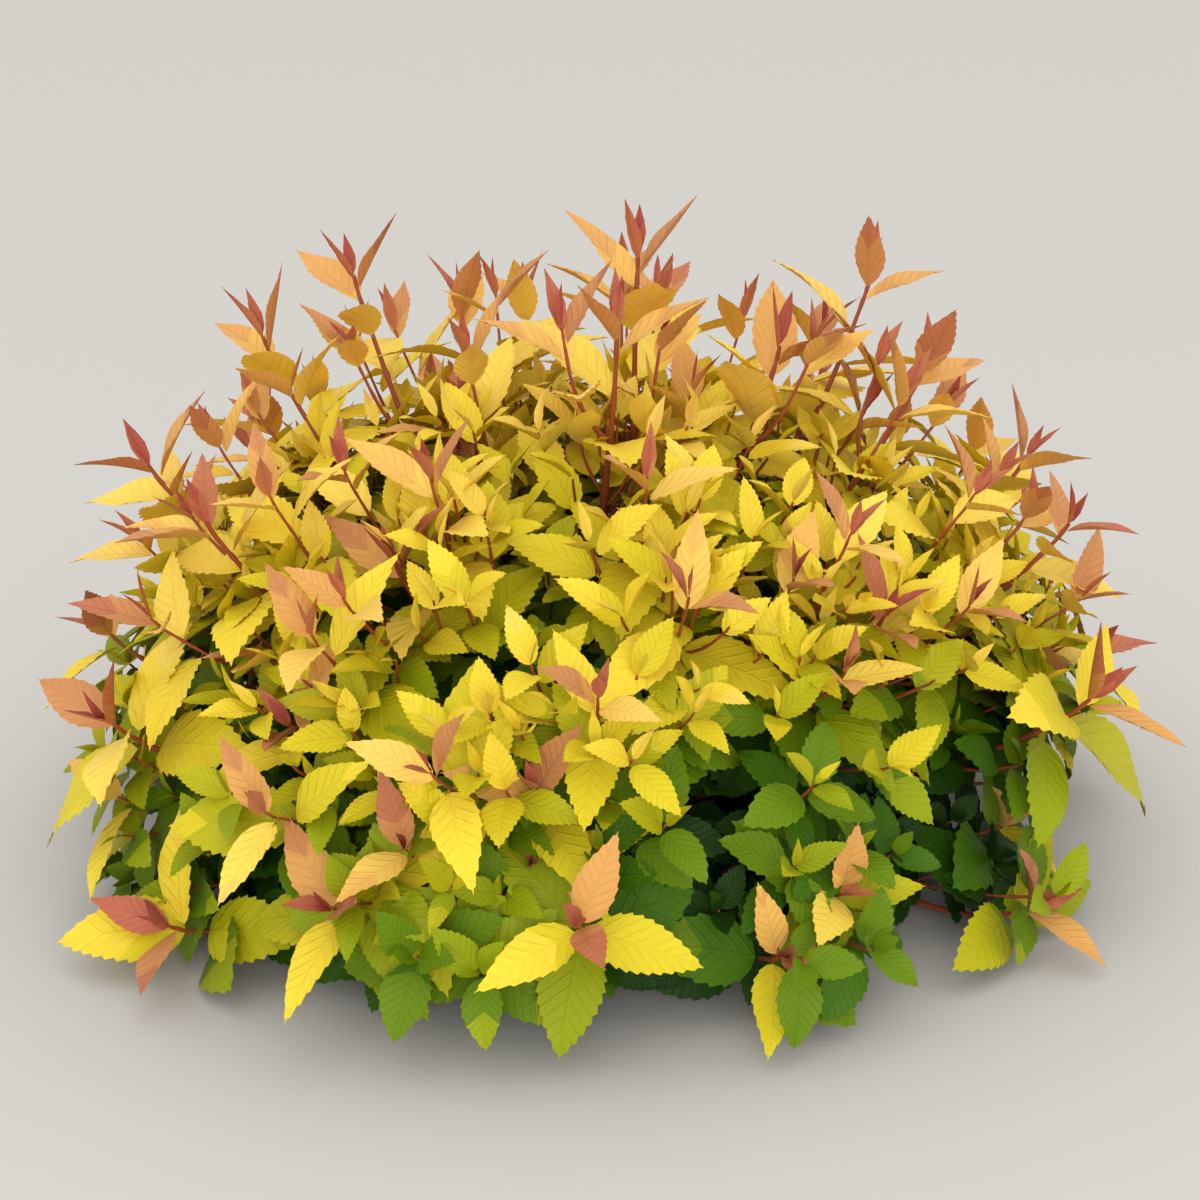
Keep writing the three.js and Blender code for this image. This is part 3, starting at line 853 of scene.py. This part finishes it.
SIDE_VEINS = 9.0  # to either side of the midrib
VEIN_SLOPE = 7.0  # how fast they run up the leaf, by its width
VEIN_WIDTH, MIDRIB_WIDTH = 0.16, 0.03  # shares of the space between veins, and of the leaf's map
NET_SCALE = 68 / 2  # cells of 2 mm on a leaf of 68 mm
NET_SHARE = 0.5  # height of the net, next to the veins'
LEAF_BUMP = (0.5, 0.0006)  # strength, and depth in metres
LEAF_VEIN_ROUGHNESS, LEAF_ROUGHNESS, LEAF_GLOSS = 0.68, 0.5, 0.2
SKIN_SCALE, SKIN_DETAIL = 1400.0, 3.0  # grains a metre, 0.7 mm each
SKIN_BUMP, SKIN_SWING = (0.5, 0.0002), 0.1
BARK_STRETCH = (1, 1, 0.35)  # fissures run upwards
BARK_DETAIL, BARK_BREAK, BARK_BUMP, BARK_SWING = 6.0, 0.62, 0.8, 0.12
BARK_DARK_TO, BARK_LIGHT_FROM = 0.35, 0.68  # of the noise
FLOOR_ROUGHNESS = 0.9


def add_node(tree, kind, inputs=None, **settings):
    """Adds a node, sets it up, and fills or links its inputs."""
    node = tree.nodes.new(kind)
    for key, value in settings.items():
        setattr(node, key, value)
    for key, value in (inputs or {}).items():
        if isinstance(value, bpy.types.NodeSocket):
            tree.links.new(value, node.inputs[key])
        else:
            node.inputs[key].default_value = value
    return node


def maths(tree, operation, *values, kind="ShaderNodeMath"):
    """Adds a node that calculates with these values, and gives its result."""
    return add_node(tree, kind, dict(enumerate(values)), operation=operation).outputs[0]


def ranged(tree, value, low=0.0, high=1.0, to_low=0.0, to_high=1.0, **settings):
    """Adds a node that maps a range of the value to another, and gives its result."""
    return add_node(tree, "ShaderNodeMapRange", {
        "Value": value, "From Min": low, "From Max": high, "To Min": to_low, "To Max": to_high,
    }, **settings).outputs[0]


def new_material(name):
    """A material and its empty tree."""
    material = bpy.data.materials.new(name)
    material.use_nodes = True
    material.node_tree.nodes.clear()
    return material, material.node_tree


def surfaced(material, colour, roughness, height=None, relief=(0, 0), **inputs):
    """Ends the material's tree with its surface, over a bump of this strength and depth."""
    tree = material.node_tree
    if height:
        strength, depth = relief
        bump = add_node(tree, "ShaderNodeBump", {"Height": height, "Strength": strength, "Distance": depth})
        inputs["Normal"] = bump.outputs[0]
    surface = add_node(tree, "ShaderNodeBsdfPrincipled", {
        "Base Color": colour, "Roughness": roughness, **inputs,
    })
    add_node(tree, "ShaderNodeOutputMaterial", {"Surface": surface.outputs[0]})
    return material


def leaf_material(name, colour):
    """Thin spring leaf. A soft satin cuticle over sunk side veins and a fine net between them makes the
    light break up along the leaf instead of lying on it in one sheet."""
    material, tree = new_material(name)
    sheet = add_node(tree, "ShaderNodeUVMap", uv_map=LEAF_MAP).outputs[0]
    parts = add_node(tree, "ShaderNodeSeparateXYZ", {0: sheet}).outputs
    across = maths(tree, "ABSOLUTE", maths(tree, "SUBTRACT", parts[0], 0.5))
    rise = maths(tree, "MULTIPLY_ADD", across, -VEIN_SLOPE, 0.0)
    between = maths(tree, "PINGPONG", maths(tree, "MULTIPLY_ADD", parts[1], SIDE_VEINS, rise), 0.5)
    veins = ranged(tree, between, high=VEIN_WIDTH, interpolation_type="SMOOTHSTEP")
    midrib = ranged(tree, across, high=MIDRIB_WIDTH, interpolation_type="SMOOTHSTEP")
    net = add_node(
        tree, "ShaderNodeTexVoronoi", {"Vector": sheet, "Scale": NET_SCALE}, feature="DISTANCE_TO_EDGE",
    )
    panels = maths(tree, "MINIMUM", veins, midrib)
    height = maths(tree, "MULTIPLY_ADD", net.outputs["Distance"], NET_SHARE, panels)
    rough = ranged(tree, height, to_low=LEAF_VEIN_ROUGHNESS, to_high=LEAF_ROUGHNESS)
    return surfaced(material, (*colour, 1), rough, height, LEAF_BUMP, **{"Specular IOR Level": LEAF_GLOSS})


def bark_material(name, dark, light, grain, relief, roughness):
    """Dry bark. Dull, dark fissures that run upwards between smoother, lighter ridges show the wood's age
    and its grain."""
    material, tree = new_material(name)
    place = add_node(tree, "ShaderNodeTexCoord").outputs["Object"]
    stretched = add_node(tree, "ShaderNodeMapping", {"Vector": place, "Scale": BARK_STRETCH})
    noise = add_node(tree, "ShaderNodeTexNoise", {
        "Vector": stretched.outputs[0], "Scale": 1 / grain,
        "Detail": BARK_DETAIL, "Roughness": BARK_BREAK,
    }).outputs["Fac"]
    ridges = ranged(tree, noise, BARK_DARK_TO, BARK_LIGHT_FROM)
    colour = add_node(
        tree, "ShaderNodeMix", {"Factor": ridges, 6: (*dark, 1), 7: (*light, 1)}, data_type="RGBA",
    )
    rough = ranged(tree, noise, to_low=roughness + BARK_SWING, to_high=roughness - BARK_SWING)
    return surfaced(material, colour.outputs[2], rough, noise, (BARK_BUMP, relief))


def stem_material(name, colour, roughness):
    """Thin skin of this year's wood. A faint grain keeps its gloss soft and broken, as on a live twig."""
    material, tree = new_material(name)
    place = add_node(tree, "ShaderNodeTexCoord").outputs["Object"]
    noise = add_node(
        tree, "ShaderNodeTexNoise", {"Vector": place, "Scale": SKIN_SCALE, "Detail": SKIN_DETAIL},
    ).outputs["Fac"]
    rough = ranged(tree, noise, to_low=roughness + SKIN_SWING, to_high=roughness - SKIN_SWING)
    return surfaced(material, (*colour, 1), rough, noise, SKIN_BUMP)


def floor_material(colour):
    """Matt painted studio floor. It has no gloss, so that nothing takes the eye from the plant."""
    return surfaced(new_material("matt_painted_floor")[0], (*colour, 1), FLOOR_ROUGHNESS)


# ---- Wood by Geometry Nodes ----

ON_GROUND = 0.0015  # height up to which wood keeps its flat cut
BARK_VOXEL, BARK_SMOOTHINGS = 0.0016, 4  # of the woody base, before its relief
TWIG_RELIEF, TWIG_RELIEF_WIDTH = 0.0002, 0.002
SIDES = {"bough": 12, "stem": 8, "twig": 5, "shade": 5}  # of a ring round each kind of wood


def wood_tree(name, stretch, detail, roughness, middle, tubes):
    """A tree that cuts lengthwise furrows into closed wood, but for what stands on the ground. With
    tubes, it first makes the wood along edges that have a radius at each point."""
    tree = bpy.data.node_groups.new(name, "GeometryNodeTree")
    for label, kind in (
        ("Wood", "Geometry"), ("Sides", "Int"), ("Relief depth", "Float"), ("Relief width", "Float"),
        ("Skin", "Material"),
    ):
        tree.interface.new_socket(label, in_out="INPUT", socket_type=f"NodeSocket{kind}")
    tree.interface.new_socket("Furrowed wood", in_out="OUTPUT", socket_type="NodeSocketGeometry")
    given = add_node(tree, "NodeGroupInput").outputs
    wood = given["Wood"]
    if tubes:
        curves = add_node(tree, "GeometryNodeMeshToCurve", {"Mesh": wood})
        ring = add_node(tree, "GeometryNodeCurvePrimitiveCircle", {
            "Resolution": given["Sides"], "Radius": 1.0,
        })
        radius = add_node(tree, "GeometryNodeInputNamedAttribute", {"Name": "radius"}, data_type="FLOAT")
        wood = add_node(tree, "GeometryNodeCurveToMesh", {
            "Curve": curves.outputs[0], "Profile Curve": ring.outputs[0],
            "Scale": radius.outputs[0], "Fill Caps": True,
        }).outputs[0]
    place = add_node(tree, "GeometryNodeInputPosition").outputs[0]
    noise = add_node(tree, "ShaderNodeTexNoise", {
        "Vector": maths(tree, "MULTIPLY", place, (1.0, 1.0, stretch), kind="ShaderNodeVectorMath"),
        "Scale": maths(tree, "DIVIDE", 1.0, given["Relief width"]),
        "Detail": detail, "Roughness": roughness,
    })
    height = maths(tree, "SUBTRACT", noise.outputs[0], middle)
    offset = add_node(tree, "ShaderNodeVectorMath", {
        0: add_node(tree, "GeometryNodeInputNormal").outputs[0],
        "Scale": maths(tree, "MULTIPLY", height, given["Relief depth"]),
    }, operation="SCALE")
    level = add_node(tree, "ShaderNodeSeparateXYZ", {0: place}).outputs[2]
    steps = {
        "SetPosition": {
            "Selection": maths(tree, "GREATER_THAN", level, ON_GROUND), "Offset": offset.outputs[0],
        },
        "SetShadeSmooth": {},
        "RealizeInstances": {},
        "SetMaterial": {"Material": given["Skin"]},
    }
    for kind, inputs in steps.items():
        wood = add_node(tree, f"GeometryNode{kind}", {"Geometry": wood, **inputs}).outputs[0]
    add_node(tree, "NodeGroupOutput", {0: wood})
    return tree


def stem_tree():
    return wood_tree("Tapering stems", stretch=0.4, detail=2.0, roughness=0.5, middle=0.5, tubes=True)


def line_object(name, lines):
    """Loose edges along each line, in metres, with the stem's radius at every point."""
    points, radii, edges = [], [], []
    for places, widths in lines:
        first = len(points)
        points += [tuple(place * MM) for place in places]
        radii += [width * MM for width in widths]
        edges += [(i, i + 1) for i in range(first, len(points) - 1)]
    mesh = bpy.data.meshes.new(name)
    mesh.from_pydata(points, edges, [])
    mesh.attributes.new("radius", "FLOAT", "POINT").data.foreach_set("value", radii)
    return linked(name, mesh)


def made_plain(piece):
    """Keeps what the piece's modifiers make of it as its own plain mesh."""
    made = bpy.data.meshes.new_from_object(piece.evaluated_get(bpy.context.evaluated_depsgraph_get()))
    piece.modifiers.clear()
    piece.data = made
    made.name = piece.name


def with_nodes_applied(piece, tree, values):
    """Gives the piece the tree as a modifier, with its inputs set by name, and keeps the plain result."""
    modifier = piece.modifiers.new(tree.name, "NODES")
    modifier.node_group = tree
    for item in tree.interface.items_tree:
        if item.in_out == "INPUT" and item.name in values:
            modifier[item.identifier] = values[item.name]
    made_plain(piece)


def finished(piece, nodes):
    """The piece rides on the shrub's one body, and stands for its solids."""
    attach(piece, "root")
    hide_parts(*nodes)


def solids_named(start):
    return sorted(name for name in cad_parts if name.startswith(start))


# ---- Settings ----

class ShrubSizes(bpy.types.PropertyGroup):
    """How dense and how rough the shrub is."""

    shoot_sprigs: IntProperty(
        name="Sprigs on a shoot", description="Fine twigs tried on each side shoot", default=6, min=0,
    )
    shade_twigs: IntProperty(
        name="Shade twigs", description="Twigs tried on each bare bough", default=16, min=0,
    )
    bark_relief: FloatProperty(
        name="Bark relief", description="Depth of the woody base's furrows",
        default=0.0022, min=0, unit="LENGTH", subtype="DISTANCE",
    )
    bough_relief: FloatProperty(
        name="Bough relief", description="Depth of the furrows on the bare boughs",
        default=0.0009, min=0, unit="LENGTH", subtype="DISTANCE",
    )
    furrow_width: FloatProperty(
        name="Furrow width", description="Width of one furrow of the bark",
        default=0.0035, min=0.0005, unit="LENGTH", subtype="DISTANCE",
    )


def colour_property(key, hex_colour):
    label = key.replace("_", " ").capitalize()
    return FloatVectorProperty(
        name=label, description=f"Base colour: {label.lower()}", subtype="COLOR", size=3,
        min=0, max=1, default=linear(hex_colour),
    )


class ShrubColours(bpy.types.PropertyGroup):
    """The leaves' tints, the bark and the floor."""

    __annotations__ = {key: colour_property(key, colour) for key, colour in {**TINTS, **SKINS}.items()}


_grown = {}


def grown_shrub(context):
    """The shrub for the present sizes, grown once."""
    sizes = context.scene.shrub_sizes
    key = (sizes.shoot_sprigs, sizes.shade_twigs)
    if key not in _grown:
        _grown[key] = Shrub(sizes)
    return _grown[key]


# ---- Operators ----

class SHRUB_OT_woody_base(bpy.types.Operator):
    """Adds the woody base with its bark's relief, in the place of its solid"""

    bl_idname = "shrub.woody_base"
    bl_label = "Woody base"

    def execute(self, context):
        sizes, colours = context.scene.shrub_sizes, context.scene.shrub_colours
        piece = linked("bark_of_woody_base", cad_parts["woody_base"].data.copy())
        piece.modifiers.new("Merged corners", "WELD")
        remesh = piece.modifiers.new("Even faces", "REMESH")
        remesh.mode = "VOXEL"
        remesh.voxel_size = BARK_VOXEL
        piece.modifiers.new("Soft joins", "SMOOTH").iterations = BARK_SMOOTHINGS
        made_plain(piece)
        tree = wood_tree("Bark relief", stretch=0.3, detail=3.0, roughness=0.6, middle=0.62, tubes=False)
        bark = bark_material(
            "stringy_grey_brown_bark", colours.bark_furrows, colours.bark_ridges,
            grain=0.004, relief=0.0012, roughness=0.86,
        )
        with_nodes_applied(piece, tree, {
            "Relief depth": sizes.bark_relief, "Relief width": sizes.furrow_width, "Skin": bark,
        })
        finished(piece, ["woody_base"])
        return {"FINISHED"}


class SHRUB_OT_boughs(bpy.types.Operator):
    """Adds the bare lower canes, in the place of their solids"""

    bl_idname = "shrub.boughs"
    bl_label = "Boughs"

    def execute(self, context):
        sizes, colours = context.scene.shrub_sizes, context.scene.shrub_colours
        piece = line_object("bare_boughs", grown_shrub(context).lines["bough"])
        bark = bark_material(
            "thin_red_brown_bark", colours.bough_furrows, colours.bough_ridges,
            grain=0.003, relief=0.0006, roughness=0.7,
        )
        with_nodes_applied(piece, stem_tree(), {
            "Sides": SIDES["bough"], "Skin": bark,
            "Relief depth": sizes.bough_relief, "Relief width": sizes.furrow_width,
        })
        finished(piece, solids_named("stem_"))
        return {"FINISHED"}


class SHRUB_OT_leafy_stems(bpy.types.Operator):
    """Adds the leafy ends of the canes, and the side twigs with their sprigs"""

    bl_idname = "shrub.leafy_stems"
    bl_label = "Leafy stems and twigs"

    def execute(self, context):
        colours = context.scene.shrub_colours
        tree = stem_tree()
        for name, kind, skin in (
            ("leafy_stems", "stem", stem_material("red_brown_stem_skin", colours.stem_skin, 0.5)),
            ("side_twigs", "twig", stem_material("red_twig_skin", colours.twig_skin, 0.5)),
            ("shade_twigs", "shade", stem_material("brown_twig_skin", colours.shade_twig_skin, 0.62)),
        ):
            piece = line_object(name, grown_shrub(context).lines[kind])
            with_nodes_applied(piece, tree, {
                "Sides": SIDES[kind], "Skin": skin,
                "Relief depth": TWIG_RELIEF, "Relief width": TWIG_RELIEF_WIDTH,
            })
            finished(piece, [])
        return {"FINISHED"}


class SHRUB_OT_foliage(bpy.types.Operator):
    """Adds the leaves of each tier, in the place of the masses of foliage"""

    bl_idname = "shrub.foliage"
    bl_label = "Foliage"

    def execute(self, context):
        colours = context.scene.shrub_colours
        materials = [leaf_material(f"spring_leaf_{key}", getattr(colours, key)) for key in TINTS]
        forms = {name: leaf_form(**sizes) for name, sizes in LEAF_FORMS.items()}
        for tier, leaves in grown_shrub(context).leaves.items():
            parts = []
            count = 0
            for name, form in forms.items():
                chosen = [leaf for leaf in leaves if form_of(leaf) == name]
                if chosen:
                    places, triangles, tints, sheet = leaf_arrays(chosen, form)
                    parts.append((places, triangles + count, tints, sheet))
                    count += len(places)
            places, triangles, tints, sheet = map(np.concatenate, zip(*parts))
            slots = np.clip(np.rint(tints), 0, len(materials) - 1)
            piece = mesh_object(f"leaves_{tier}", places, triangles, sheet, materials, slots)
            finished(piece, solids_named(f"foliage_{tier}_"))
        return {"FINISHED"}


# ---- Stage ----

# The camera looks at a point over the middle of the base, from the front and a little above.
AIM_HEIGHT = 0.14
CAMERA_DISTANCE = 1.25
CAMERA_ELEVATION = 22
LENS = 50
SENSOR = 28.8
FLOOR_HALF = 12
LIGHTS_AIM = Vector((0, 0, 0.15))
LIGHTS = (  # name, place, width and power
    ("soft_key", (-0.7, -1.2, 2.1), 1.8, 4),
    ("camera_side_fill", (0.2, -2.2, 0.7), 1.4, 15),
    ("overhead", (0.1, 0.1, 2.4), 1.8, 2),
)
SKY_COLOUR = "#F6F7F8"
HORIZON_LIGHT, ZENITH_LIGHT, ZENITH_FROM = 0.95, 1.3, 0.9


def sky_world():
    """Soft light from all round, brightest overhead."""
    world = bpy.data.worlds.new("pale_studio")
    world.use_nodes = True
    tree = world.node_tree
    tree.nodes.clear()
    place = add_node(tree, "ShaderNodeTexCoord").outputs["Generated"]
    height = add_node(tree, "ShaderNodeSeparateXYZ", {0: place}).outputs[2]
    light = add_node(tree, "ShaderNodeBackground", {
        "Color": (*linear(SKY_COLOUR), 1),
        "Strength": ranged(tree, height, 0.0, ZENITH_FROM, HORIZON_LIGHT, ZENITH_LIGHT),
    })
    add_node(tree, "ShaderNodeOutputWorld", {"Surface": light.outputs[0]})
    return world


class SHRUB_OT_stage(bpy.types.Operator):
    """Adds the floor, the soft lights and the camera"""

    bl_idname = "shrub.stage"
    bl_label = "Stage"

    def execute(self, context):
        scene = context.scene
        mesh = bpy.data.meshes.new("studio_floor")
        corners = [(x * FLOOR_HALF, y * FLOOR_HALF, 0) for x, y in ((-1, -1), (1, -1), (1, 1), (-1, 1))]
        mesh.from_pydata(corners, [], [(0, 1, 2, 3)])
        mesh.materials.append(floor_material(scene.shrub_colours.floor))
        floor = linked("studio_floor", mesh)
        scene.world = sky_world()
        for name, place, width, power in LIGHTS:
            light = bpy.data.lights.new(name, "AREA")
            light.size = width
            light.energy = power
            lamp = linked(name, light)
            lamp.location = place
            lamp.visible_camera = False
            lamp.rotation_mode = "QUATERNION"
            lamp.rotation_quaternion = (LIGHTS_AIM - lamp.location).to_track_quat("-Z", "Y")
        camera = linked("camera", bpy.data.cameras.new("camera"))
        camera.data.lens = LENS
        camera.data.sensor_width = SENSOR
        lean = math.radians(CAMERA_ELEVATION)
        away = Vector((0, -math.cos(lean), math.sin(lean)))
        camera.location = Vector((0, 0, AIM_HEIGHT)) + away * CAMERA_DISTANCE
        camera.rotation_mode = "QUATERNION"
        camera.rotation_quaternion = (-away).to_track_quat("-Z", "Y")
        scene.camera = camera
        scene.view_settings.view_transform = "Standard"
        return {"FINISHED"}


class SHRUB_PT_panel(bpy.types.Panel):
    """Lists the shrub's pieces in the sidebar"""

    bl_idname = "SHRUB_PT_panel"
    bl_label = "Golden spirea"
    bl_space_type = "VIEW_3D"
    bl_region_type = "UI"
    bl_category = "Shrub"

    def draw(self, context):
        for operator in OPERATORS:
            self.layout.operator(operator.bl_idname)


OPERATORS = (
    SHRUB_OT_stage, SHRUB_OT_woody_base, SHRUB_OT_boughs, SHRUB_OT_leafy_stems, SHRUB_OT_foliage,
)
CLASSES = (ShrubSizes, ShrubColours, *OPERATORS, SHRUB_PT_panel)


def register():
    for one in CLASSES:
        bpy.utils.register_class(one)
    bpy.types.Scene.shrub_sizes = PointerProperty(type=ShrubSizes)
    bpy.types.Scene.shrub_colours = PointerProperty(type=ShrubColours)


def unregister():
    del bpy.types.Scene.shrub_colours
    del bpy.types.Scene.shrub_sizes
    for one in reversed(CLASSES):
        bpy.utils.unregister_class(one)


def main():
    register()
    bpy.ops.shrub.stage()
    bpy.ops.shrub.woody_base()
    bpy.ops.shrub.boughs()
    bpy.ops.shrub.leafy_stems()
    bpy.ops.shrub.foliage()


if __name__ == "__main__":
    main()
